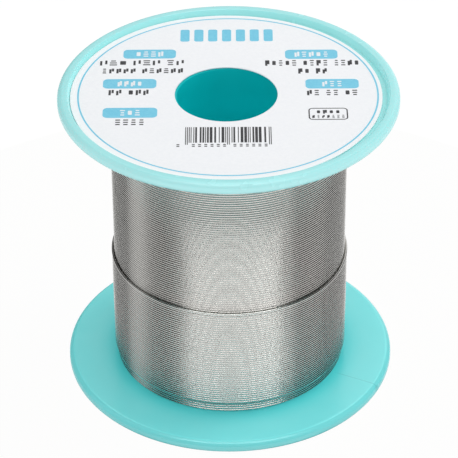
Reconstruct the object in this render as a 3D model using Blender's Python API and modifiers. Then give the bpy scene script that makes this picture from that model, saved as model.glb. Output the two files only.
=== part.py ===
"""Solder wire spool.

A small reel of fine solder wire standing on its lower flange. Two moulded
flanges are pressed on the spigots of a barrel tube, whose inside is the bore.
The wire starts in a groove of the barrel and fills the space between the
flanges layer by layer. The last layer covers only the lower part of the
winding, and its last turn lies loose round the winding just above it. A printed
paper ring lies in the recess of the upper flange and hides the joint there.

Units are metres, +Z is up, the spool's axis is Z, and the origin is the
centre of the circle on which the lower flange stands.
"""

import math

import bmesh
import bpy

MM = 0.001

# Overall
FLANGE_R = 21.25 * MM          # outer radius of both flanges
HEIGHT = 40.75 * MM            # over both flanges
SEGMENTS = 72                  # steps of every turned piece

# Flange section
RIM_T = 1.62 * MM              # thickness at the bead
PLATE_T = 0.84 * MM            # thickness of the plate inside the bead
BEAD_TOP_R = 19.94 * MM        # inner edge of the bead's flat top
BEAD_FOOT_R = 19.68 * MM       # where the bead's inner slope meets the recess
OUTER_ROUND = 0.66 * MM        # rounding of the edge on the outer face
INNER_ROUND = 0.84 * MM        # rounding of the edge that faces the wire
BEAD_ROUND = 0.12 * MM         # rounding between the bead's top and its slope

# Barrel: a tube with a shoulder and a spigot at each end
BORE_R = 6.43 * MM
BORE_CHAMFER = 0.22 * MM
BARREL_R = 7.55 * MM
SPIGOT_R = 7.15 * MM           # goes through the flange's plate
SPIGOT_CLEAR = 0.05 * MM       # radial clearance of the spigot in the plate
SHOULDER_GAP = 0.05 * MM       # between a shoulder and the flange
SPIGOT_SINK = 0.02 * MM        # the spigot ends this far below the recess floor

# Wire
WIRE_R = 0.15 * MM
WINDING_R = 14.86 * MM         # outside of the outermost full layer
LAYER_GAP = 0.05 * MM
PACK_BOTTOM = RIM_T + 0.08 * MM
PACK_TOP = HEIGHT - RIM_T - 0.08 * MM
PACK_INNER_R = 7.62 * MM
OUTER_LAYER_T = 0.30 * MM
LAST_LAYER_R = 15.16 * MM      # outside of the last layer, which is not full
LAST_LAYER_T = 0.25 * MM
LAST_LAYER_BOTTOM = 2.98 * MM  # it starts a few turns above the lower flange
LAST_LAYER_TOP = 16.94 * MM

# Groove in the barrel for the start of the wire
GROOVE_W = 0.70 * MM
GROOVE_DEPTH = 0.45 * MM
GROOVE_LEN = 8.0 * MM
GROOVE_ANGLE = math.radians(140.0)
TAIL_BOTTOM = 2.3 * MM
TAIL_TOP = 9.0 * MM

# Label
LABEL_IN_R = 6.38 * MM
LABEL_OUT_R = 19.35 * MM
LABEL_T = 0.12 * MM
LABEL_LIFT = 0.05 * MM
LABEL_OFFSET = (-0.27 * MM, 0.01 * MM)

# Last turn, loose above the last layer
FREE_R = 15.05 * MM            # centre line of the wire
FREE_Z = 17.22 * MM
FREE_TILT = -0.08 * MM         # the turn is a little lower on the +X side
FREE_HALF_ANGLE = math.radians(172.0)
FREE_POINTS = 80


def clear_scene():
    for obj in list(bpy.data.objects):
        bpy.data.objects.remove(obj, do_unlink=True)


def new_collection(name):
    coll = bpy.data.collections.new(name)
    bpy.context.scene.collection.children.link(coll)
    return coll


def plastic(name, color, roughness):
    mat = bpy.data.materials.new(name)
    mat.use_nodes = True
    shader = mat.node_tree.nodes["Principled BSDF"]
    shader.inputs["Base Color"].default_value = (*color, 1.0)
    shader.inputs["Roughness"].default_value = roughness
    shader.inputs["Metallic"].default_value = 0.0
    return mat


def metal(name, color, roughness):
    mat = plastic(name, color, roughness)
    mat.node_tree.nodes["Principled BSDF"].inputs["Metallic"].default_value = 1.0
    return mat


def arc(cx, cz, radius, start, end, steps):
    """Points of an arc in the section plane, angles in degrees from +X."""
    points = []
    for i in range(steps + 1):
        a = math.radians(start + (end - start) * i / steps)
        points.append((cx + radius * math.cos(a), cz + radius * math.sin(a)))
    return points


def turned(name, section, material, coll, segments=SEGMENTS):
    """A ring turned from a closed section.

    The section's outer side runs from top to bottom.
    """
    mesh = bpy.data.meshes.new(name)
    bm = bmesh.new()
    verts = [bm.verts.new((x, 0.0, z)) for x, z in section]
    for i, v in enumerate(verts):
        bm.edges.new((v, verts[(i + 1) % len(verts)]))
    bm.to_mesh(mesh)
    bm.free()
    obj = bpy.data.objects.new(name, mesh)
    coll.objects.link(obj)
    screw = obj.modifiers.new("Turn", "SCREW")
    screw.axis = "Z"
    screw.angle = math.tau
    screw.steps = segments
    screw.render_steps = segments
    screw.use_merge_vertices = True
    screw.merge_threshold = 1e-6
    screw.use_smooth_shade = True
    obj.data.materials.append(material)
    return obj


def flange_section():
    """Section of a flange whose outer face looks up and lies at z = 0."""
    top = 0.0
    inner = -RIM_T
    floor = -(RIM_T - PLATE_T)
    pts = []
    # bead: from its inner edge over the flat top to the outer side
    pts += arc(BEAD_TOP_R + BEAD_ROUND, top - BEAD_ROUND, BEAD_ROUND, 155, 90, 3)
    pts += arc(FLANGE_R - OUTER_ROUND, top - OUTER_ROUND, OUTER_ROUND, 90, 0, 7)
    pts += arc(FLANGE_R - INNER_ROUND, inner + INNER_ROUND, INNER_ROUND, 0, -90, 8)
    # inner face and the hole for the barrel's spigot
    pts.append((SPIGOT_R + SPIGOT_CLEAR, inner))
    pts.append((SPIGOT_R + SPIGOT_CLEAR, floor))
    # recess floor up to the foot of the bead
    pts.append((BEAD_FOOT_R, floor))
    return pts


def make_flange(name, material, coll, upper):
    obj = turned(name, flange_section(), material, coll)
    if upper:
        obj.location = (0.0, 0.0, HEIGHT)
    else:
        obj.location = (0.0, 0.0, 0.0)
        obj.rotation_euler = (math.pi, 0.0, 0.0)
    return obj


def barrel_section():
    shoulder_low = RIM_T + SHOULDER_GAP
    shoulder_high = HEIGHT - shoulder_low
    end_low = RIM_T - PLATE_T + SPIGOT_SINK
    end_high = HEIGHT - end_low
    return [
        (BORE_R + BORE_CHAMFER, end_high), (SPIGOT_R, end_high),
        (SPIGOT_R, shoulder_high), (BARREL_R, shoulder_high),
        (BARREL_R, shoulder_low), (SPIGOT_R, shoulder_low),
        (SPIGOT_R, end_low), (BORE_R + BORE_CHAMFER, end_low),
        (BORE_R, end_low + BORE_CHAMFER), (BORE_R, end_high - BORE_CHAMFER),
    ]


def make_barrel(material, coll, cutters):
    obj = turned("barrel", barrel_section(), material, coll)
    # groove for the start of the wire, open at the outside and the lower end
    bpy.ops.mesh.primitive_cube_add(size=1.0)
    cutter = bpy.context.active_object
    cutter.name = "groove_cutter"
    for old in list(cutter.users_collection):
        old.objects.unlink(cutter)
    cutters.objects.link(cutter)
    depth = 1.0 * MM
    cutter.scale = (depth, GROOVE_W, GROOVE_LEN)
    r = BARREL_R - GROOVE_DEPTH + depth / 2
    cutter.location = (r * math.cos(GROOVE_ANGLE), r * math.sin(GROOVE_ANGLE),
                       RIM_T + GROOVE_LEN / 2 - 0.5 * MM)
    cutter.rotation_euler = (0.0, 0.0, GROOVE_ANGLE)
    cutter.hide_render = True
    cutter.display_type = "WIRE"
    cut = obj.modifiers.new("Groove", "BOOLEAN")
    cut.operation = "DIFFERENCE"
    cut.solver = "EXACT"
    cut.object = cutter
    return obj


def wire(name, points, material, coll, resolution=2):
    """A wire: a poly line with a round bevel and filled caps."""
    curve = bpy.data.curves.new(name, "CURVE")
    curve.dimensions = "3D"
    curve.bevel_depth = WIRE_R
    curve.bevel_resolution = resolution
    curve.use_fill_caps = True
    curve.render_resolution_u = 0
    spline = curve.splines.new("POLY")
    spline.points.add(len(points) - 1)
    for p, co in zip(spline.points, points):
        p.co = (*co, 1.0)
    obj = bpy.data.objects.new(name, curve)
    coll.objects.link(obj)
    curve.materials.append(material)
    return obj


def make_free_turn(material, coll):
    """The last turn lies in one plane, tilted a little about the Y axis, and
    runs round in that plane: its origin is on the plane's axis."""
    points = []
    for i in range(FREE_POINTS):
        a = -FREE_HALF_ANGLE + 2 * FREE_HALF_ANGLE * i / (FREE_POINTS - 1)
        # a = 0 is the front of the spool, at -Y
        points.append((FREE_R * math.sin(a), -FREE_R * math.cos(a),
                       FREE_TILT * math.sin(a)))
    obj = wire("solder_free_turn", points, material, coll)
    obj.location = (0.0, 0.0, FREE_Z)
    return obj


def make_start_tail(material, coll):
    r = BARREL_R - GROOVE_DEPTH / 2
    x = r * math.cos(GROOVE_ANGLE)
    y = r * math.sin(GROOVE_ANGLE)
    steps = 10
    points = [(x, y, TAIL_BOTTOM + (TAIL_TOP - TAIL_BOTTOM) * i / steps)
              for i in range(steps + 1)]
    return wire("solder_start_tail", points, material, coll)


def main():
    clear_scene()
    coll = new_collection("solder_wire_spool")
    cutters = new_collection("cutters")

    turquoise = plastic("turquoise_plastic", (0.20, 0.72, 0.72), 0.42)
    teal = plastic("turquoise_plastic_barrel", (0.02, 0.45, 0.46), 0.42)
    paper = plastic("label_paper", (0.90, 0.91, 0.93), 0.55)
    solder = metal("solder_wire", (0.66, 0.66, 0.64), 0.32)

    make_flange("upper_flange", turquoise, coll, upper=True)
    make_flange("lower_flange", turquoise, coll, upper=False)
    make_barrel(teal, coll, cutters)

    outer_in = WINDING_R - OUTER_LAYER_T
    inner_out = outer_in - LAYER_GAP
    turned("solder_inner_layers",
           [(PACK_INNER_R, PACK_TOP), (inner_out, PACK_TOP),
            (inner_out, PACK_BOTTOM), (PACK_INNER_R, PACK_BOTTOM)],
           solder, coll)
    turned("solder_outer_layer",
           [(outer_in, PACK_TOP), (WINDING_R, PACK_TOP),
            (WINDING_R, PACK_BOTTOM), (outer_in, PACK_BOTTOM)],
           solder, coll)
    last_in = LAST_LAYER_R - LAST_LAYER_T
    turned("solder_last_layer",
           [(last_in, LAST_LAYER_TOP), (LAST_LAYER_R, LAST_LAYER_TOP),
            (LAST_LAYER_R, LAST_LAYER_BOTTOM), (last_in, LAST_LAYER_BOTTOM)],
           solder, coll)
    make_start_tail(solder, coll)
    make_free_turn(solder, coll)

    label_low = HEIGHT - (RIM_T - PLATE_T) + LABEL_LIFT
    label = turned("top_label",
                   [(LABEL_IN_R, label_low + LABEL_T), (LABEL_OUT_R, label_low + LABEL_T),
                    (LABEL_OUT_R, label_low), (LABEL_IN_R, label_low)],
                   paper, coll)
    label.location = (LABEL_OFFSET[0], LABEL_OFFSET[1], 0.0)


main()
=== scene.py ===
"""Looks of the solder wire spool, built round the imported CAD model.

Everything is in metres, in the CAD model's frame: +Z up, the spool's axis is
Z, the front is -Y and the right is +X.
"""

import math
import random

import bmesh
import bpy
import numpy as np
from mathutils import Euler, Matrix, Vector


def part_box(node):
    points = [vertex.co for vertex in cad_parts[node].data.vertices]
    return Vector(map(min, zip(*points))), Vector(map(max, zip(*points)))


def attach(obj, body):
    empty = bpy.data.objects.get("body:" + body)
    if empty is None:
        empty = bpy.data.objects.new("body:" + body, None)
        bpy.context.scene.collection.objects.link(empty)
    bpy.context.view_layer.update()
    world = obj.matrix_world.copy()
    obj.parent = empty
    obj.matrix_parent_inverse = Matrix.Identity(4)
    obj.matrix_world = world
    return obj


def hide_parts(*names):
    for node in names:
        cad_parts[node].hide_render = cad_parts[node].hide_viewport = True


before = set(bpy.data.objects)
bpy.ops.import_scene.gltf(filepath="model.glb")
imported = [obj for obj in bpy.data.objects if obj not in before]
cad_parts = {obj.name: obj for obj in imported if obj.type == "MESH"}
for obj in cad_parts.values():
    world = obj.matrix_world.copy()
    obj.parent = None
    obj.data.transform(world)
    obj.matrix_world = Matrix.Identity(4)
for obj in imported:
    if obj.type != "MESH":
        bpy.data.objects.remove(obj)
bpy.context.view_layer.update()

MM = 0.001


scene = bpy.context.scene
scene.view_settings.view_transform = "Standard"
scene.view_settings.look = "None"
scene.view_settings.exposure = 0.0
scene.view_settings.gamma = 1.0

# ------------------------------------------------------------ dimensions
FLANGE_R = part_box("upper_flange")[1].x
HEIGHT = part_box("upper_flange")[1].z
RIM_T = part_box("lower_flange")[1].z
PLATE_T = 0.84 * MM
BEAD_TOP_R = 19.94 * MM
BEAD_FOOT_R = 19.68 * MM
OUTER_ROUND = 0.66 * MM
INNER_ROUND = 0.74 * MM
BEAD_ROUND = 0.12 * MM
FOOT_ROUND = 0.04 * MM

BORE_R = 6.43 * MM
BORE_CHAMFER = 0.22 * MM
BARREL_R = 7.55 * MM
SPIGOT_R = 7.15 * MM
SPIGOT_CLEAR = 0.05 * MM
SHOULDER_GAP = 0.05 * MM
SPIGOT_SINK = 0.02 * MM
GROOVE_W = 0.70 * MM
GROOVE_DEPTH = 0.45 * MM
GROOVE_LEN = 8.0 * MM
GROOVE_ANGLE = math.radians(140.0)

WIRE_R = 0.157 * MM             # 0.3 mm wire at the upper end of its tolerance
WINDING_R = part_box("solder_outer_layer")[1].x
LAST_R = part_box("solder_last_layer")[1].x
LAST_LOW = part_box("solder_last_layer")[0].z
PITCH = 0.324 * MM
PACK_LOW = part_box("solder_outer_layer")[0].z
PACK_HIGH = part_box("solder_outer_layer")[1].z

LABEL_IN_R = 6.38 * MM
LABEL_OUT_R = 19.35 * MM
LABEL_OFFSET = (-0.30 * MM, 0.01 * MM)
LABEL_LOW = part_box("top_label")[0].z
LABEL_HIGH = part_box("top_label")[1].z

FREE_R = 15.05 * MM
FREE_Z = 17.22 * MM
FREE_TILT = -0.08 * MM
FREE_HALF_ANGLE = math.radians(172.0)
HALF_STEP = 8.0 / 360.0         # half of a turn's step down, in turns

# ------------------------------------------------------------ camera
ELEVATION = 0.6082
DISTANCE = 322.144 * MM
TARGET = Vector((0.0, 0.0, 19.656 * MM))
ROLL = -0.0057
SIDEWAYS = (-0.0498 * MM, 0.0679 * MM)


def make_camera():
    data = bpy.data.cameras.new("camera")
    data.sensor_fit = "HORIZONTAL"
    data.sensor_width = 36.0
    data.lens = 196.946
    data.clip_start = 0.01
    data.clip_end = 20.0
    cam = bpy.data.objects.new("camera", data)
    scene.collection.objects.link(cam)
    turn = Euler((math.pi / 2 - ELEVATION, 0.0, 0.0)).to_matrix()
    turn = turn @ Matrix.Rotation(ROLL, 3, "Z")
    place = TARGET + Vector((0.0, -DISTANCE * math.cos(ELEVATION),
                             DISTANCE * math.sin(ELEVATION)))
    place += turn @ Vector((SIDEWAYS[0], SIDEWAYS[1], 0.0))
    cam.matrix_world = Matrix.Translation(place) @ turn.to_4x4()
    scene.camera = cam
    return cam


make_camera()


# ------------------------------------------------------------ node helpers
class Nodes:
    """A short way to write a node tree."""

    def __init__(self, tree):
        self.tree = tree

    def add(self, kind, **props):
        node = self.tree.nodes.new(kind)
        for key, value in props.items():
            setattr(node, key, value)
        return node

    def link(self, a, b):
        self.tree.links.new(a, b)

    def set(self, socket, value):
        if isinstance(value, bpy.types.NodeSocket):
            self.link(value, socket)
        else:
            socket.default_value = value

    def math(self, operation, a, b=None, c=None, clamp=False):
        node = self.add("ShaderNodeMath", operation=operation, use_clamp=clamp)
        self.set(node.inputs[0], a)
        if b is not None:
            self.set(node.inputs[1], b)
        if c is not None:
            self.set(node.inputs[2], c)
        return node.outputs[0]

    def ramp_range(self, value, low, high, to_low=0.0, to_high=1.0, smooth=True):
        node = self.add("ShaderNodeMapRange",
                        interpolation_type="SMOOTHSTEP" if smooth else "LINEAR")
        self.set(node.inputs["Value"], value)
        node.inputs["From Min"].default_value = low
        node.inputs["From Max"].default_value = high
        node.inputs["To Min"].default_value = to_low
        node.inputs["To Max"].default_value = to_high
        return node.outputs["Result"]

    def noise(self, coords, scale, detail=2.0, rough=0.5):
        node = self.add("ShaderNodeTexNoise")
        self.set(node.inputs["Vector"], coords)
        node.inputs["Scale"].default_value = scale
        node.inputs["Detail"].default_value = detail
        node.inputs["Roughness"].default_value = rough
        return node.outputs["Fac"]

    def mix(self, factor, a, b, blend="MIX"):
        node = self.add("ShaderNodeMix", data_type="RGBA", blend_type=blend)
        self.set(node.inputs["Factor"], factor)
        for key, value in (("A", a), ("B", b)):
            socket = [s for s in node.inputs if s.name == key and s.type == "RGBA"][0]
            if isinstance(value, tuple):
                socket.default_value = (*value, 1.0)
            else:
                self.link(value, socket)
        return [s for s in node.outputs if s.type == "RGBA"][0]

    def xyz(self, coords):
        node = self.add("ShaderNodeSeparateXYZ")
        self.link(coords, node.inputs[0])
        return node.outputs[0], node.outputs[1], node.outputs[2]


def new_material(name):
    mat = bpy.data.materials.new(name)
    mat.use_nodes = True
    shader = mat.node_tree.nodes["Principled BSDF"]
    n = Nodes(mat.node_tree)
    coords = n.add("ShaderNodeTexCoord").outputs["Object"]
    return mat, shader, n, coords


def bump(n, shader, height, strength, distance):
    node = n.add("ShaderNodeBump")
    node.inputs["Strength"].default_value = strength
    node.inputs["Distance"].default_value = distance
    n.link(height, node.inputs["Height"])
    n.link(node.outputs["Normal"], shader.inputs["Normal"])


# ------------------------------------------------------------ materials
WITNESS_ANGLE = math.radians(-90.0 + 63.6)    # radial knit line of the lower flange
SPOT = (FLANGE_R * math.cos(WITNESS_ANGLE), FLANGE_R * math.sin(WITNESS_ANGLE),
        RIM_T * 0.62)


def moulded_plastic(name, pale, full, deep, rough, deep_from=None, deep_to=None,
                    knit=False, subsurface=0.12, specular=0.5, painted_zones=(), shade_heights=(),
                    scuff=None):
    """Turquoise moulded plastic: two close tones that drift like melt flow, a
    deeper tone where the wall is shaded, fine satin texture from the tool.
    zones are painted light and shade in rings that go evenly round the axis: painted shade on thin edges
    and on the ground near the winding, painted bounce light on the bead's inner wall and a painted sheen
    on the rim's outer edge: (from radius, to radius, softness, tone, strength) in mm.
    heights are painted shade that changes with height: (from z, to z, tone). scuff is the x and z, in
    mm, of a hairline mark on the front of the rim."""
    mat, shader, n, coords = new_material(name)
    x, y, z = n.xyz(coords)
    flow = n.noise(coords, 70.0, 3.0, 0.55)
    flow = n.ramp_range(flow, 0.32, 0.68)
    color = n.mix(flow, full, pale)
    radius = n.math("SQRT", n.math("ADD", n.math("MULTIPLY", x, x),
                                   n.math("MULTIPLY", y, y)))
    if deep_from is not None:
        shade = n.ramp_range(radius, deep_from, deep_to, 1.0, 0.0)
        color = n.mix(shade, color, deep)
    # painted shade that changes with height
    for z0, z1, tone in shade_heights:
        color = n.mix(n.ramp_range(z, z0, z1), color, tone)
    # painted light and shade in rings round the axis
    for r0, r1, soft, tone, strength in painted_zones:
        mask = n.math("MULTIPLY", n.ramp_range(radius, r0 * MM, (r0 + soft) * MM),
                      n.ramp_range(radius, (r1 - soft) * MM, r1 * MM, strength, 0.0))
        color = n.mix(mask, color, tone)
    if scuff is not None:
        near_x = n.math("ABSOLUTE", n.math("SUBTRACT", x, scuff[0] * MM))
        near_z = n.math("ABSOLUTE", n.math("SUBTRACT", z, scuff[1] * MM))
        mask = n.math("MULTIPLY", n.ramp_range(near_x, 0.5 * MM, 0.90 * MM, 0.45, 0.0),
                      n.ramp_range(near_z, 0.02 * MM, 0.07 * MM, 1.0, 0.0))
        mask = n.math("MULTIPLY", mask, n.math("LESS_THAN", y, 0.0))
        color = n.mix(mask, color, (0.230, 0.560, 0.575))
    if knit:
        c, s = math.cos(WITNESS_ANGLE), math.sin(WITNESS_ANGLE)
        along = n.math("ADD", n.math("MULTIPLY", x, c), n.math("MULTIPLY", y, s))
        across = n.math("ABSOLUTE", n.math("SUBTRACT", n.math("MULTIPLY", y, c),
                                           n.math("MULTIPLY", x, s)))
        line = n.ramp_range(across, 0.02 * MM, 0.11 * MM, 1.0, 0.0)
        line = n.math("MULTIPLY", line, n.ramp_range(along, 15.0 * MM, 16.5 * MM))
        line = n.math("MULTIPLY", line, 0.33)
        color = n.mix(line, color, tuple(v * 0.55 for v in deep))
        dx = n.math("SUBTRACT", x, SPOT[0])
        dy = n.math("SUBTRACT", y, SPOT[1])
        dz = n.math("SUBTRACT", z, SPOT[2])
        d2 = n.math("ADD", n.math("MULTIPLY", dx, dx), n.math("MULTIPLY", dy, dy))
        d2 = n.math("ADD", d2, n.math("MULTIPLY", dz, dz))
        dist = n.math("SQRT", d2)
        spot = n.ramp_range(dist, 0.15 * MM, 0.65 * MM, 0.55, 0.0)
        color = n.mix(spot, color, tuple(v * 0.6 for v in deep))
    n.link(color, shader.inputs["Base Color"])
    grain = n.noise(coords, 5200.0, 2.0, 0.6)
    broad = n.noise(coords, 420.0, 2.0, 0.5)
    n.link(n.ramp_range(broad, 0.3, 0.7, rough - 0.04, rough + 0.05, smooth=False),
           shader.inputs["Roughness"])
    shader.inputs["IOR"].default_value = 1.5
    shader.inputs["Specular IOR Level"].default_value = specular
    shader.inputs["Subsurface Weight"].default_value = subsurface
    shader.inputs["Subsurface Radius"].default_value = (0.35, 1.0, 1.0)
    shader.inputs["Subsurface Scale"].default_value = 0.9 * MM
    height = n.math("ADD", n.math("MULTIPLY", grain, 0.5), broad)
    bump(n, shader, height, 0.12, 0.02 * MM)
    return mat


def paper_material():
    mat, shader, n, coords = new_material("label_paper")
    fibre = n.noise(coords, 2600.0, 3.0, 0.65)
    cloud = n.noise(coords, 140.0, 2.0, 0.5)
    color = n.mix(n.ramp_range(fibre, 0.3, 0.7), (0.878, 0.894, 0.922), (0.914, 0.926, 0.950))
    color = n.mix(n.ramp_range(cloud, 0.35, 0.65, 0.0, 0.25), color, (0.884, 0.900, 0.928))
    x, y, z = n.xyz(coords)
    radius = n.math("SQRT", n.math("ADD", n.math("MULTIPLY", x, x), n.math("MULTIPLY", y, y)))
    # painted light: the paper is lighter towards its outer edge, to cancel the shade of the rim's bead
    # over it
    color = n.mix(n.ramp_range(radius, 18.2 * MM, 19.3 * MM, 0.0, 0.85), color,
                  (0.960, 0.968, 0.985))
    n.link(color, shader.inputs["Base Color"])
    n.link(n.ramp_range(fibre, 0.3, 0.7, 0.50, 0.62, smooth=False),
           shader.inputs["Roughness"])
    shader.inputs["IOR"].default_value = 1.45
    bump(n, shader, fibre, 0.15, 0.01 * MM)
    return mat


def ink_material(name, full, thin, rough):
    """Printed ink that lies a little uneven on the paper."""
    mat, shader, n, coords = new_material(name)
    mottle = n.noise(coords, 3400.0, 2.0, 0.6)
    color = n.mix(n.ramp_range(mottle, 0.35, 0.70), full, thin)
    n.link(color, shader.inputs["Base Color"])
    n.link(n.ramp_range(mottle, 0.3, 0.7, rough - 0.05, rough + 0.05, smooth=False),
           shader.inputs["Roughness"])
    return mat


def solder_material(name, color, rough):
    """Bright drawn solder: the value is the same all over, and the wire's own
    shape carries the detail."""
    mat, shader, n, coords = new_material(name)
    shader.inputs["Base Color"].default_value = (*color, 1.0)
    shader.inputs["Metallic"].default_value = 1.0
    shader.inputs["Roughness"].default_value = rough
    return mat


def packed_solder_material():
    """The layers under the outer one, seen only through the gaps: turns one
    wire apart."""
    mat, shader, n, coords = new_material("solder_packed")
    x, y, z = n.xyz(coords)
    phase = n.math("MULTIPLY", z, math.tau / PITCH)
    ridge = n.math("ABSOLUTE", n.math("SINE", n.math("MULTIPLY", phase, 0.5)))
    tone = n.noise(coords, 900.0, 2.0, 0.5)
    color = n.mix(n.ramp_range(tone, 0.3, 0.7), (0.46, 0.45, 0.43), (0.56, 0.55, 0.52))
    n.link(color, shader.inputs["Base Color"])
    shader.inputs["Metallic"].default_value = 1.0
    shader.inputs["Roughness"].default_value = 0.38
    bump(n, shader, ridge, 1.0, 0.12 * MM)
    return mat


# The two flanges are the same plastic; the upper one's paler, whiter tone is painted light, as more
# light falls on the top.
UPPER_PLASTIC = moulded_plastic(
    "spool_plastic_upper", pale=(0.405, 0.830, 0.838), full=(0.375, 0.810, 0.818),
    deep=(0.020, 0.480, 0.510), rough=0.24, specular=0.75,
    # painted light: a brighter tone on the bead's inner wall, for light bounced off the label
    painted_zones=((18.90, 20.02, 0.05, (0.375, 0.865, 0.865), 1.0),
           # painted sheen: a paler, whiter tone on the rounded outer edge of the rim
           (20.85, 21.60, 0.15, (0.440, 0.840, 0.850), 0.9)),
    scuff=(2.05, HEIGHT / MM - 0.17))
LOWER_PLASTIC = moulded_plastic(
    "spool_plastic_lower", pale=(0.238, 0.903, 0.915), full=(0.213, 0.883, 0.898),
    deep=(0.140, 0.880, 0.900), rough=0.22, specular=0.80,
    deep_from=14.6 * MM, deep_to=18.0 * MM, knit=True,
    # painted shade: a darker tone on the ground next to the winding
    painted_zones=((13.00, 16.60, 1.60, (0.060, 0.780, 0.810), 0.35),
           # painted shade: a darker tone on the rounded outer edge and side of the rim
           (20.70, 21.90, 0.10, (0.195, 0.770, 0.785), 0.9)))
BARREL_PLASTIC = moulded_plastic(
    "spool_plastic_barrel", pale=(0.0, 0.800, 0.838), full=(0.0, 0.772, 0.810),
    deep=(0.0, 0.3, 0.32), rough=0.45, specular=0.2,
    # painted shade: the bore's wall is darker towards its top
    shade_heights=((32.5 * MM, 39.8 * MM, (0.0, 0.500, 0.530)),))
PAPER = paper_material()
INK_BLUE = ink_material("print_blue", (0.162, 0.575, 0.775), (0.202, 0.620, 0.805), 0.45)
INK_DARK = ink_material("print_dark", (0.022, 0.022, 0.026), (0.055, 0.055, 0.060), 0.50)
INK_WHITE = ink_material("print_white", (0.86, 0.88, 0.90), (0.80, 0.84, 0.88), 0.50)
SOLDER = solder_material("solder_wire", (0.810, 0.800, 0.770), 0.16)
SOLDER_PACKED = packed_solder_material()


# ------------------------------------------------------------ mesh helpers
def mesh_object(name, verts, faces, material, smooth_angle=35.0):
    mesh = bpy.data.meshes.new(name)
    mesh.from_pydata([tuple(v) for v in verts], [], [tuple(f) for f in faces])
    mesh.validate()
    mesh.update()
    mesh.shade_smooth()
    if smooth_angle is not None:
        mesh.set_sharp_from_angle(angle=math.radians(smooth_angle))
    obj = bpy.data.objects.new(name, mesh)
    scene.collection.objects.link(obj)
    obj.data.materials.append(material)
    return obj


def arc(cx, cz, radius, start, end, steps):
    points = []
    for i in range(steps + 1):
        a = math.radians(start + (end - start) * i / steps)
        points.append((cx + radius * math.cos(a), cz + radius * math.sin(a)))
    return points


def straight(a, b, steps):
    """Points between a and b, without a and with b."""
    return [(a[0] + (b[0] - a[0]) * i / steps, a[1] + (b[1] - a[1]) * i / steps)
            for i in range(1, steps + 1)]


def turned(name, section, angles, material, change=None, smooth_angle=35.0):
    """A ring swept from a closed section, outer side running top to bottom.

    change(r, z, angle) may return a moved (r, z)."""
    n = len(section)
    verts = []
    for a in angles:
        c, s = math.cos(a), math.sin(a)
        for r, z in section:
            if change is not None:
                r, z = change(r, z, a)
            verts.append((r * c, r * s, z))
    faces = []
    m = len(angles)
    for k in range(m):
        k2 = (k + 1) % m
        for i in range(n):
            i2 = (i + 1) % n
            faces.append((k * n + i, k * n + i2, k2 * n + i2, k2 * n + i))
    return mesh_object(name, verts, faces, material, smooth_angle)


def even_angles(count):
    return [math.tau * i / count for i in range(count)]


# ------------------------------------------------------------ flanges
def flange_section():
    """The flange's section with its outer face up, at z = 0."""
    inner = -RIM_T
    floor = -(RIM_T - PLATE_T)
    pts = arc(BEAD_TOP_R + BEAD_ROUND, -BEAD_ROUND, BEAD_ROUND, 155, 90, 6)
    pts += arc(FLANGE_R - OUTER_ROUND, -OUTER_ROUND, OUTER_ROUND, 90, 0, 14)
    pts += arc(FLANGE_R - INNER_ROUND, inner + INNER_ROUND, INNER_ROUND, 0, -90, 16)
    hole = SPIGOT_R + SPIGOT_CLEAR
    # two close rings beside each corner keep its shading crisp
    pts += straight(pts[-1], (20.45 * MM, inner), 1)
    pts += straight((20.45 * MM, inner), (hole + 0.10 * MM, inner), 14)
    pts += arc(hole + 0.06 * MM, inner + 0.06 * MM, 0.06 * MM, -90, -180, 3)
    pts += arc(hole + 0.06 * MM, floor - 0.06 * MM, 0.06 * MM, 180, 90, 3)
    pts += straight((hole + 0.10 * MM, floor), (BEAD_FOOT_R - FOOT_ROUND, floor), 10)
    pts += arc(BEAD_FOOT_R - FOOT_ROUND, floor + FOOT_ROUND, FOOT_ROUND, -90, -25, 4)
    return pts


def knit_change(sign):
    """The knit line is a hairline valley in the face towards the wire, and the
    gate left a small dimple in the rim at its end."""
    def change(r, z, a):
        d = (a - WITNESS_ANGLE + math.pi) % math.tau - math.pi
        across = abs(r * math.sin(d)) if abs(d) < 0.5 else 1.0
        if across < 0.16 * MM and z > RIM_T - 0.02 * MM and 14.0 * MM < r < 20.6 * MM:
            z -= 0.018 * MM * (1.0 - across / (0.16 * MM)) ** 1.5
        if r > 20.6 * MM and abs(d) < 0.2:
            px = r * math.cos(a) - SPOT[0]
            py = r * math.sin(a) - SPOT[1]
            d3 = math.sqrt(px * px + py * py + (z - SPOT[2]) ** 2)
            if d3 < 0.55 * MM:
                r -= 0.045 * MM * (math.cos(math.pi * d3 / (0.55 * MM)) + 1.0) / 2.0
        return r, z
    return change


def refined_angles(count, centre, half_width, extra):
    """Even angles, with finer ones round one azimuth."""
    base = [math.tau * i / count for i in range(count)]
    centre %= math.tau
    fine = [centre - half_width + 2 * half_width * i / extra for i in range(extra + 1)]
    keep = [a for a in base
            if abs((a - centre + math.pi) % math.tau - math.pi) > half_width * 1.04]
    return sorted(keep + [a % math.tau for a in fine])


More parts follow.
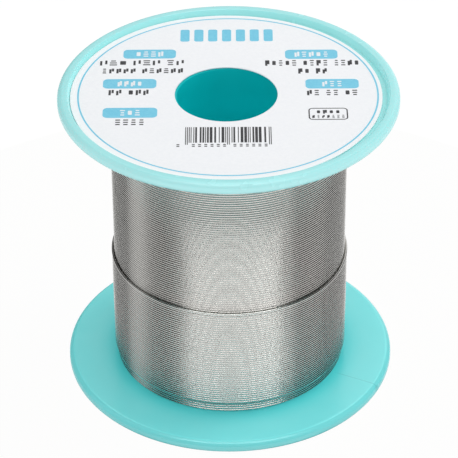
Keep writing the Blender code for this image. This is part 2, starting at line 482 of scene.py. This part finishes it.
def underside_marks(obj):
    """What the mould leaves in the lower flange's recess: four ejector pin
    marks and the shallow well of the gate."""
    floor = RIM_T - PLATE_T
    cutters = []

    def pin(x, y, radius, depth):
        bm = bmesh.new()
        bmesh.ops.create_cone(bm, cap_ends=True, segments=40, radius1=radius,
                              radius2=radius, depth=2 * depth)
        mesh = bpy.data.meshes.new("cut")
        bm.to_mesh(mesh)
        bm.free()
        cut = bpy.data.objects.new("cut", mesh)
        cut.location = (x, y, floor)
        scene.collection.objects.link(cut)
        cutters.append(cut)

    for i in range(4):
        a = math.radians(45.0 + 90.0 * i)
        pin(14.6 * MM * math.cos(a), 14.6 * MM * math.sin(a), 1.25 * MM, 0.05 * MM)
    a = math.radians(100.0)
    pin(9.7 * MM * math.cos(a), 9.7 * MM * math.sin(a), 0.9 * MM, 0.16 * MM)
    for cut in cutters:
        mod = obj.modifiers.new("mark", "BOOLEAN")
        mod.operation = "DIFFERENCE"
        mod.solver = "EXACT"
        mod.object = cut
    bake_modifiers(obj)
    for cut in cutters:
        mesh = cut.data
        bpy.data.objects.remove(cut)
        bpy.data.meshes.remove(mesh)
    return obj


def bake_modifiers(obj):
    """Leaves the evaluated mesh on obj, with its smooth shading set again."""
    bpy.context.view_layer.update()
    graph = bpy.context.evaluated_depsgraph_get()
    mesh = bpy.data.meshes.new_from_object(obj.evaluated_get(graph))
    old = obj.data
    obj.modifiers.clear()
    obj.data = mesh
    mesh.name = obj.name
    bpy.data.meshes.remove(old)
    mesh.shade_smooth()
    mesh.set_sharp_from_angle(angle=math.radians(35.0))


def make_flanges():
    section = flange_section()
    upper = turned("upper_flange_moulding",
                   [(r, HEIGHT + z) for r, z in section],
                   even_angles(432), UPPER_PLASTIC)
    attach(upper, "reel")
    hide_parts("upper_flange")
    # the lower flange is the same moulding turned over: its outer side still
    # runs top to bottom when the section is read backwards
    flipped = [(r, -z) for r, z in reversed(section)]
    lower = turned("lower_flange_moulding", flipped,
                   refined_angles(432, WITNESS_ANGLE, math.radians(3.0), 60),
                   LOWER_PLASTIC, change=knit_change(1.0))
    underside_marks(lower)
    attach(lower, "reel")
    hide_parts("lower_flange")
    return upper, lower


# ------------------------------------------------------------ barrel
def make_barrel():
    shoulder_low = RIM_T + SHOULDER_GAP
    shoulder_high = HEIGHT - shoulder_low
    low = RIM_T - PLATE_T + SPIGOT_SINK
    high = HEIGHT - low
    r = 0.05 * MM
    pts = arc(BORE_R + BORE_CHAMFER, high - BORE_CHAMFER, BORE_CHAMFER, 180, 90, 6)
    pts += arc(SPIGOT_R - r, high - r, r, 90, 0, 4)
    pts += [(SPIGOT_R, shoulder_high + 0.01 * MM), (SPIGOT_R, shoulder_high)]
    pts += arc(BARREL_R - r, shoulder_high - r, r, 90, 0, 4)
    pts += straight((BARREL_R, shoulder_high - r), (BARREL_R, shoulder_low + r), 8)
    pts += arc(BARREL_R - r, shoulder_low + r, r, 0, -90, 4)[1:]
    pts += [(SPIGOT_R, shoulder_low), (SPIGOT_R, shoulder_low - 0.01 * MM)]
    pts += arc(SPIGOT_R - r, low + r, r, 0, -90, 4)
    pts += arc(BORE_R + BORE_CHAMFER, low + BORE_CHAMFER, BORE_CHAMFER, -90, -180, 6)
    pts += straight((BORE_R, low + BORE_CHAMFER), (BORE_R, high - BORE_CHAMFER), 12)[:-1]
    obj = turned("barrel_tube", pts, even_angles(240), BARREL_PLASTIC)
    bm = bmesh.new()
    bmesh.ops.create_cube(bm, size=1.0)
    mesh = bpy.data.meshes.new("groove")
    bm.to_mesh(mesh)
    bm.free()
    cutter = bpy.data.objects.new("groove", mesh)
    scene.collection.objects.link(cutter)
    depth = 1.0 * MM
    cutter.scale = (depth, GROOVE_W, GROOVE_LEN)
    rc = BARREL_R - GROOVE_DEPTH + depth / 2
    cutter.location = (rc * math.cos(GROOVE_ANGLE), rc * math.sin(GROOVE_ANGLE),
                       RIM_T + GROOVE_LEN / 2 - 0.5 * MM)
    cutter.rotation_euler = (0.0, 0.0, GROOVE_ANGLE)
    mod = obj.modifiers.new("Groove", "BOOLEAN")
    mod.operation = "DIFFERENCE"
    mod.solver = "EXACT"
    mod.object = cutter
    bake_modifiers(obj)
    bpy.data.objects.remove(cutter)
    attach(obj, "reel")
    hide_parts("barrel")
    return obj


# ------------------------------------------------------------ winding
def smooth_wander(count, knots, seed, size):
    """A slow random walk between knots, the same on every run."""
    rng = np.random.default_rng(seed)
    values = rng.uniform(-1.0, 1.0, knots + 3)
    t = np.linspace(0.0, knots - 1e-6, count)
    i = t.astype(int)
    f = t - i
    f = f * f * (3 - 2 * f)
    return size * (values[i] * (1 - f) + values[i + 1] * f)


# centre lines of the turns that lie against the flanges
LOWEST = RIM_T + WIRE_R + 0.012 * MM
HIGHEST = LOWEST + PITCH * int((HEIGHT - RIM_T - WIRE_R - 0.012 * MM - LOWEST) / PITCH)


def layer_path(seg, top, bottom, radius, seed, rough_top):
    """Centre line of one layer, from its top turn down, as arrays of azimuth
    (0 is +X), radius and height. Each turn lies in a plane with the tilt of
    the loose turn and steps down to the next one at the back."""
    turns = int((top - bottom) / PITCH + 1e-6) + 1
    start, end = HALF_STEP, turns - HALF_STEP
    count = int(round((end - start) * seg)) + 1
    t = np.linspace(start, end, count)
    azimuth = -math.pi + math.tau * t               # 0 is the front, at -Y
    n = np.round(t)
    d = np.clip((t - n + HALF_STEP) / (2.0 * HALF_STEP), 0.0, 1.0)
    steps = n - 1.0 + d * d * (3.0 - 2.0 * d)
    z = top - PITCH * steps
    # the lowest and highest turns lie flat on the flanges
    free = np.minimum(z - LOWEST, HIGHEST - z) / (2.0 * MM)
    z = z + FREE_TILT * np.sin(azimuth) * np.clip(free, 0.0, 1.0)
    z = z + smooth_wander(count, turns * 5, seed, 0.004 * MM)
    near_top = np.clip((z - rough_top) / (6.0 * MM), 0.0, 1.0)
    z = z + near_top * smooth_wander(count, turns * 3, seed + 1, 0.007 * MM)
    r = radius + smooth_wander(count, turns * 4, seed + 2, 0.004 * MM)
    return azimuth - math.pi / 2, r, z


def tube_piece(name, angle, r, z, sides, material):
    """A closed round tube along a path that runs round the axis."""
    count = len(angle)
    phi = np.arange(sides) * math.tau / sides
    rr = r[:, None] + WIRE_R * np.cos(phi)[None, :]
    zz = z[:, None] + WIRE_R * np.sin(phi)[None, :]
    x = rr * np.cos(angle)[:, None]
    y = rr * np.sin(angle)[:, None]
    co = np.stack([x, y, zz], -1).reshape(-1, 3)
    k = np.arange(count - 1)[:, None]
    j = np.arange(sides)[None, :]
    j2 = (j + 1) % sides
    quads = np.stack([k * sides + j, (k + 1) * sides + j,
                      (k + 1) * sides + j2, k * sides + j2], -1).reshape(-1, 4)
    faces = [tuple(q) for q in quads.tolist()]
    faces.append(tuple(range(sides)))
    faces.append(tuple((count - 1) * sides + i for i in reversed(range(sides))))
    return mesh_object(name, co.tolist(), faces, material, smooth_angle=50.0)


def make_winding():
    """The outermost full layer, and the last layer that lies in its grooves
    from a few turns above the lower flange to just under the loose turn."""
    seg, sides = 144, 10
    layers = [("solder_winding", "solder_outer_layer", 4,
               HIGHEST, LOWEST,
               WINDING_R - WIRE_R - 0.003 * MM, 11, 29.0 * MM),
              ("solder_last_turns", "solder_last_layer", 2,
               FREE_Z - PITCH, LAST_LOW + WIRE_R,
               LAST_R - WIRE_R - 0.003 * MM, 31, 99.0)]
    pieces = []
    for name, node, parts, top, bottom, radius, seed, rough_top in layers:
        angle, r, z = layer_path(seg, top, bottom, radius, seed, rough_top)
        count = len(angle)
        cuts = [round(i * (count - 1) / parts) for i in range(parts + 1)]
        for i in range(parts):
            a, b = cuts[i], cuts[i + 1] + 1
            piece = tube_piece("%s_%d" % (name, i + 1), angle[a:b], r[a:b], z[a:b],
                               sides, SOLDER)
            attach(piece, "reel")
            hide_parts(node)
            pieces.append(piece)
    return pieces


def finish_inner_solder():
    for node, mat in (("solder_inner_layers", SOLDER_PACKED), ("solder_start_tail", SOLDER)):
        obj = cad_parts[node]
        obj.data.materials.clear()
        obj.data.materials.append(mat)


# ------------------------------------------------------------ last, loose turn
def free_turn_points(count=181):
    points = []
    for i in range(count):
        a = -FREE_HALF_ANGLE + 2 * FREE_HALF_ANGLE * i / (count - 1)
        points.append((FREE_R * math.sin(a), -FREE_R * math.cos(a),
                       FREE_Z + FREE_TILT * math.sin(a)))
    return points


def make_free_turn():
    points = free_turn_points()
    curve = bpy.data.curves.new("solder_loose_turn", "CURVE")
    curve.dimensions = "3D"
    curve.bevel_depth = WIRE_R
    curve.bevel_resolution = 4
    curve.use_fill_caps = True
    spline = curve.splines.new("POLY")
    spline.points.add(len(points) - 1)
    for p, co in zip(spline.points, points):
        p.co = (*co, 1.0)
    spline.use_smooth = True
    obj = bpy.data.objects.new("solder_loose_turn", curve)
    scene.collection.objects.link(obj)
    curve.materials.append(SOLDER)
    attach(obj, "free_turn")
    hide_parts("solder_free_turn")
    return obj


# ------------------------------------------------------------ label
def make_label_paper():
    low, high = LABEL_LOW, LABEL_HIGH
    e = 0.02 * MM
    pts = [(LABEL_IN_R, high - e), (LABEL_IN_R + e, high)]
    pts += straight((LABEL_IN_R + e, high), (LABEL_OUT_R - e, high), 12)
    pts += [(LABEL_OUT_R, high - e), (LABEL_OUT_R, low)]
    pts += straight((LABEL_OUT_R, low), (LABEL_IN_R, low), 4)
    obj = turned("label_ring", pts, even_angles(432), PAPER, smooth_angle=30.0)
    obj.data.transform(Matrix.Translation((LABEL_OFFSET[0], LABEL_OFFSET[1], 0.0)))
    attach(obj, "reel")
    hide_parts("top_label")
    return obj


class Print:
    """Flat printed shapes of one ink, a few microns thick."""

    def __init__(self, name, ink, level):
        self.name, self.ink = name, ink
        self.low = LABEL_HIGH + level * MM
        self.high = self.low + 0.004 * MM
        self.verts, self.faces = [], []

    def outline(self, points):
        """A filled convex shape, its corners counter-clockwise, in mm."""
        base = len(self.verts)
        n = len(points)
        for z in (self.low, self.high):
            self.verts += [(x * MM, y * MM, z) for x, y in points]
        self.faces.append([base + n + i for i in range(n)])
        self.faces.append([base + i for i in reversed(range(n))])
        for i in range(n):
            j = (i + 1) % n
            self.faces.append([base + i, base + j, base + n + j, base + n + i])

    def rect(self, x0, y0, x1, y1):
        self.outline([(x0, y0), (x1, y0), (x1, y1), (x0, y1)])

    def rounded(self, x0, y0, x1, y1, radius, steps=7):
        self.outline(rounded_points(x0, y0, x1, y1, radius, steps))

    def band(self, outer, inner):
        """A closed band between two outlines of the same number of points."""
        base = len(self.verts)
        n = len(outer)
        for z in (self.low, self.high):
            self.verts += [(x * MM, y * MM, z) for x, y in outer]
            self.verts += [(x * MM, y * MM, z) for x, y in inner]
        lo_o, lo_i, hi_o, hi_i = base, base + n, base + 2 * n, base + 3 * n
        for i in range(n):
            j = (i + 1) % n
            self.faces.append([hi_o + i, hi_o + j, hi_i + j, hi_i + i])
            self.faces.append([lo_o + j, lo_o + i, lo_i + i, lo_i + j])
            self.faces.append([lo_o + i, lo_o + j, hi_o + j, hi_o + i])
            self.faces.append([lo_i + j, lo_i + i, hi_i + i, hi_i + j])

    def build(self):
        obj = mesh_object(self.name, self.verts, self.faces, self.ink, smooth_angle=30.0)
        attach(obj, "reel")
        return obj


def rounded_points(x0, y0, x1, y1, radius, steps):
    pts = []
    for cx, cy, start in ((x1 - radius, y0 + radius, -90), (x1 - radius, y1 - radius, 0),
                          (x0 + radius, y1 - radius, 90), (x0 + radius, y0 + radius, 180)):
        for i in range(steps + 1):
            a = math.radians(start + 90.0 * i / steps)
            pts.append((cx + radius * math.cos(a), cy + radius * math.sin(a)))
    return pts


def oval_points(cx, cy, rx, ry, count=288):
    return [(cx + rx * math.cos(math.tau * i / count),
             cy + ry * math.sin(math.tau * i / count)) for i in range(count)]


def dummy_line(ink, rng, x0, y0, x1, y1, words, stroke):
    """A line of placeholder marks: groups of plain upright and flat strokes
    that stand for text without being letters."""
    total = sum(words)
    height = y1 - y0
    gap = 0.30
    space = 0.85
    width = (x1 - x0 - space * (len(words) - 1) - gap * (total - len(words))) / total
    x = x0
    for count in words:
        for _ in range(count):
            kind = rng.random()
            if kind < 0.40:
                # two uprights of unlike height
                a = height * rng.uniform(0.75, 1.0)
                ink.rect(x, y0, x + stroke, y0 + a)
                b = height * rng.uniform(0.60, 0.90)
                ink.rect(x + width - stroke, y1 - b, x + width, y1)
            elif kind < 0.75:
                # stacked flat strokes of unlike length
                for f in (0.0, 0.5, 1.0):
                    w = width * rng.uniform(0.60, 1.0)
                    yy = y0 + f * (height - stroke * 0.85)
                    ink.rect(x + (width - w) / 2, yy, x + (width + w) / 2,
                             yy + stroke * 0.85)
            else:
                # a small plain block
                ink.rounded(x + width * 0.10, y0 + height * 0.12, x + width * 0.90,
                            y1 - height * 0.12, 0.12, 3)
            x += width + gap
        x += space - gap


def make_label_print():
    rng = random.Random(20)
    top = LABEL_HIGH / MM
    blue = Print("label_print_blue", INK_BLUE, 0.001)
    dark = Print("label_print_dark", INK_DARK, 0.001)
    white = Print("label_print_white", INK_WHITE, 0.0055)

    # ring line near the paper's edge
    cx, cy = -0.075, 0.125
    blue.band(oval_points(cx, cy, 18.685, 18.505), oval_points(cx, cy, 18.475, 18.295))

    # heading: a row of plain bars, all alike
    for i in range(7):
        x = -6.15 + i * 1.78
        blue.rounded(x, 12.75, x + 1.18, 15.75, 0.30)

    pills = {"kind": (-13.33, 8.59, -6.66, 10.79), "mix": (7.19, 8.31, 13.85, 10.56),
             "size": (-15.66, 1.40, -9.00, 3.64), "batch": (9.58, 1.15, 16.22, 3.39),
             "net": (-15.46, -5.42, -8.76, -3.12)}
    marks = {"kind": (3.45, [4]), "mix": (4.25, [5]), "size": (3.0, [4]),
             "batch": (2.45, [3]), "net": (2.45, [3])}
    for key, (x0, y0, x1, y1) in pills.items():
        blue.rounded(x0, y0, x1, y1, 0.62)
        half = marks[key][0] / 2
        xm, ym = (x0 + x1) / 2, (y0 + y1) / 2
        dummy_line(white, rng, xm - half, ym - 0.62, xm + half, ym + 0.62,
                   marks[key][1], 0.27)

    lines = [(-16.22, 6.96, -5.64, 8.16, [3, 3, 2]),
             (-15.89, 5.04, -5.73, 6.18, [5, 6]),
             (4.63, 6.67, 16.45, 7.99, [5, 4, 4]),
             (8.76, 4.73, 12.36, 5.99, [2, 2]),
             (-14.89, -0.18, -9.94, 1.09, [2, 3]),
             (9.72, -0.43, 15.95, 0.80, [2, 2, 2]),
             (-13.88, -7.06, -10.31, -5.81, [4])]
    for x0, y0, x1, y1, words in lines:
        dummy_line(dark, rng, x0, y0, x1, y1, words, 0.28)

    # framed mark with two short lines
    x0, y0, x1, y1 = 9.76, -6.11, 14.59, -3.40
    dark.band(rounded_points(x0, y0, x1, y1, 0.55, 7),
              rounded_points(x0 + 0.16, y0 + 0.16, x1 - 0.16, y1 - 0.16, 0.39, 7))
    dummy_line(dark, rng, 10.75, -4.72, 13.60, -3.86, [4], 0.24)
    dummy_line(dark, rng, 10.20, -5.72, 14.15, -5.02, [7], 0.16)

    # bar pattern with no reading: random widths, longer bars at both ends and
    # in the middle
    x0, x1, low, mid, high = -5.28, 5.16, -11.54, -11.10, -7.63
    module = (x1 - x0) / 95.0
    longer = {0, 2, 46, 48, 92, 94}
    x = 0
    while x < 95:
        width = 1 if (x in longer) else rng.choice((1, 1, 2, 2, 3))
        width = min(width, 95 - x)
        if x < 46 <= x + width:
            width = max(1, 46 - x)
        bottom = low if x in longer else mid
        dark.rect(x0 + x * module, bottom, x0 + (x + width) * module, high)
        x += width
        gap = 1 if (x in (1, 47, 93)) else rng.choice((1, 1, 2, 3))
        nxt = x + gap
        for mark in (46, 92):
            if x < mark < nxt or (x < mark and mark - nxt < 1 and nxt > mark - 2):
                nxt = mark
        x = max(nxt, x + 1)
    for i in range(13):
        xx = -6.30 if i == 0 else (-4.45 if i < 7 else 0.55) + ((i - 1) % 6) * 0.75
        dark.rect(xx, -12.00, xx + 0.34, -11.78)
        dark.rect(xx, -11.62, xx + 0.34, -11.42)

    for part in (blue, dark, white):
        part.build()


# ------------------------------------------------------------ studio
def make_studio():
    floor_mat = bpy.data.materials.new("studio_floor")
    floor_mat.use_nodes = True
    shader = floor_mat.node_tree.nodes["Principled BSDF"]
    shader.inputs["Base Color"].default_value = (0.05, 0.05, 0.05, 1.0)
    shader.inputs["Roughness"].default_value = 1.0
    shader.inputs["Specular IOR Level"].default_value = 0.0
    shader.inputs["Emission Color"].default_value = (1.0, 1.0, 0.997, 1.0)
    shader.inputs["Emission Strength"].default_value = 0.960
    floor_mat.cycles.emission_sampling = "NONE"
    bpy.ops.mesh.primitive_circle_add(vertices=96, radius=6.0, fill_type="NGON",
                                      location=(0.0, 0.0, -0.00004))
    floor = bpy.context.active_object
    floor.name = "studio_floor"
    floor.data.materials.append(floor_mat)
    floor.visible_glossy = False

    # the table close to the spool gives it less light than the rest does
    shade_mat = bpy.data.materials.new("studio_shade")
    shade_mat.use_nodes = True
    shader = shade_mat.node_tree.nodes["Principled BSDF"]
    shader.inputs["Base Color"].default_value = (0.0, 0.0, 0.0, 1.0)
    shader.inputs["Specular IOR Level"].default_value = 0.0
    shader.inputs["Emission Color"].default_value = (1.0, 1.0, 1.0, 1.0)
    shader.inputs["Emission Strength"].default_value = 0.45
    shade_mat.cycles.emission_sampling = "NONE"
    bpy.ops.mesh.primitive_circle_add(vertices=96, radius=0.06, fill_type="NGON",
                                      location=(0.0, 0.0, -0.00003))
    shade = bpy.context.active_object
    shade.name = "studio_shade"
    shade.data.materials.append(shade_mat)
    shade.visible_camera = False
    shade.visible_glossy = False
    shade.visible_transmission = False
    shade.visible_shadow = False

    make_sky()
    make_tent()
    soft_light("key_light", (0.26, 0.10, 0.30), 0.20, 0.24)
    return floor


def make_sky():
    """Soft daylight from a white room: bright round the horizon, a little
    less overhead. Shiny surfaces mirror the tent instead."""
    world = bpy.data.worlds.new("studio_world")
    world.use_nodes = True
    scene.world = world
    tree = world.node_tree
    n = Nodes(tree)
    x, y, z = n.xyz(n.add("ShaderNodeTexCoord").outputs["Generated"])
    level = n.ramp_range(z, 0.0, 1.0, 1.10, 0.80, smooth=False)
    # the window side, to the right in front, is a little brighter
    tilt = n.math("ADD", n.math("MULTIPLY", x, 0.10), n.math("MULTIPLY", y, -0.06))
    level = n.math("MULTIPLY", level, n.math("ADD", tilt, 1.0))
    back = tree.nodes["Background"]
    back.inputs["Color"].default_value = (1.0, 1.0, 0.997, 1.0)
    n.link(level, back.inputs["Strength"])
    world.cycles_visibility.glossy = False
    world.cycles.sampling_method = "NONE"


def soft_light(name, place, size, power):
    data = bpy.data.lights.new(name, "AREA")
    data.shape = "DISK"
    data.size = size
    data.energy = power
    lamp = bpy.data.objects.new(name, data)
    scene.collection.objects.link(lamp)
    lamp.location = place
    look = Vector((0.0, 0.0, 0.02)) - Vector(place)
    lamp.rotation_euler = look.to_track_quat("-Z", "Y").to_euler()
    lamp.visible_camera = False
    lamp.visible_glossy = False
    return lamp


# light levels of the tent by azimuth, in degrees from the front (-Y) towards
# +X, for each zone of elevation from the ground up
GROUND = [(-180, 0.80), (-150, 0.40), (-120, 0.08), (-66, 0.08), (-51, 0.90), (-40, 1.20),
          (55, 1.20), (61, 0.80), (68, 0.08), (120, 0.08), (150, 0.40), (180, 0.80)]
TABLE = [(-180, 0.95), (-150, 0.78), (-130, 0.74), (-64, 0.80), (-53, 1.05), (-42, 1.22),
         (0, 1.20), (45, 1.27), (58, 1.48), (62, 0.90), (66, 0.84), (130, 0.86),
         (150, 0.85), (180, 0.95)]
WALLS = [(-180, 0.35), (-165, 0.08), (-150, 0.03), (-127, 0.02), (-107, 0.03), (-102, 0.36),
         (-96, 0.42), (-86, 0.32), (-78, 0.04), (-57, 0.02), (-42, 0.12), (60, 0.14),
         (65, 0.03), (120, 0.03), (138, 0.08), (148, 0.60), (160, 1.00), (172, 0.80), (180, 0.35)]
HIGHER = [(-180, 1.10), (-165, 0.75), (-152, 0.60), (-142, 0.05), (-106, 0.08), (-98, 0.20), (-88, 0.18),
          (-80, 0.05), (-57, 0.02), (-42, 0.12), (60, 0.14), (65, 0.03), (136, 0.03),
          (148, 1.20), (180, 1.30)]
SOFTBOX = [(-180, 1.90), (-150, 1.40), (-138, 0.05), (-62, 0.03), (-52, 2.60), (-45, 3.20),
           (0, 3.00), (40, 3.40), (61, 4.40), (66, 0.05), (134, 0.05), (148, 1.60),
           (180, 1.90)]
OVERHEAD = [(-180, 2.60), (180, 2.60)]
ROOF = [(-180, 2.00), (-145, 1.20), (-110, 0.05), (-60, 0.05), (-45, 0.30), (50, 0.30),
        (62, 0.05), (110, 0.05), (145, 1.20), (180, 2.00)]


def level_curve(n, value, points, low, high, top):
    """A curve through points; value runs from low to high degrees."""
    curve = n.add("ShaderNodeFloatCurve")
    n.link(n.math("MULTIPLY_ADD", value, math.degrees(1.0) / (high - low),
                  -low / (high - low)), curve.inputs["Value"])
    c = curve.mapping.curves[0]
    while len(c.points) < len(points):
        c.points.new(0.5, 0.5)
    for p, (deg, level) in zip(c.points, points):
        p.location = ((deg - low) / (high - low), level / top)
        p.handle_type = "VECTOR"
    curve.mapping.update()
    return n.math("MULTIPLY", curve.outputs[0], top)


def make_tent():
    """The tent that shiny surfaces mirror: a white table, dim walls, a softbox
    high in front, a panel behind and a lamp overhead. Only reflections see it."""
    mat = bpy.data.materials.new("studio_tent")
    mat.use_nodes = True
    mat.cycles.emission_sampling = "NONE"
    tree = mat.node_tree
    tree.nodes.clear()
    n = Nodes(tree)
    coords = n.add("ShaderNodeTexCoord").outputs["Object"]
    x, y, z = n.xyz(coords)
    azimuth = n.math("ARCTAN2", x, n.math("MULTIPLY", y, -1.0))
    flat = n.math("SQRT", n.math("ADD", n.math("MULTIPLY", x, x), n.math("MULTIPLY", y, y)))
    elevation = n.math("ARCTAN2", z, flat)
    level = level_curve(n, azimuth, GROUND, -180.0, 180.0, 4.0)
    for points, low, high in ((TABLE, -60.0, -52.0), (WALLS, -18.0, -10.0),
                              (HIGHER, 38.0, 43.0), (SOFTBOX, 48.0, 52.0),
                              (ROOF, 64.0, 72.0), (OVERHEAD, 74.0, 79.0)):
        above = level_curve(n, azimuth, points, -180.0, 180.0, 4.0)
        f = n.ramp_range(elevation, math.radians(low), math.radians(high))
        level = n.math("ADD", n.math("MULTIPLY", level, n.math("SUBTRACT", 1.0, f)),
                       n.math("MULTIPLY", above, f))
    glow = n.add("ShaderNodeEmission")
    n.link(level, glow.inputs["Strength"])
    glow.inputs["Color"].default_value = (1.0, 1.0, 1.0, 1.0)
    out = n.add("ShaderNodeOutputMaterial")
    n.link(glow.outputs[0], out.inputs["Surface"])
    bpy.ops.mesh.primitive_uv_sphere_add(segments=64, ring_count=32, radius=4.0)
    tent = bpy.context.active_object
    tent.name = "studio_tent"
    tent.data.materials.append(mat)
    tent.visible_camera = False
    tent.visible_diffuse = False
    tent.visible_transmission = False
    tent.visible_volume_scatter = False
    tent.visible_shadow = False
    return tent


# ------------------------------------------------------------ build
make_free_turn()
make_flanges()
make_barrel()
make_winding()
finish_inner_solder()
make_label_paper()
make_label_print()
make_studio()
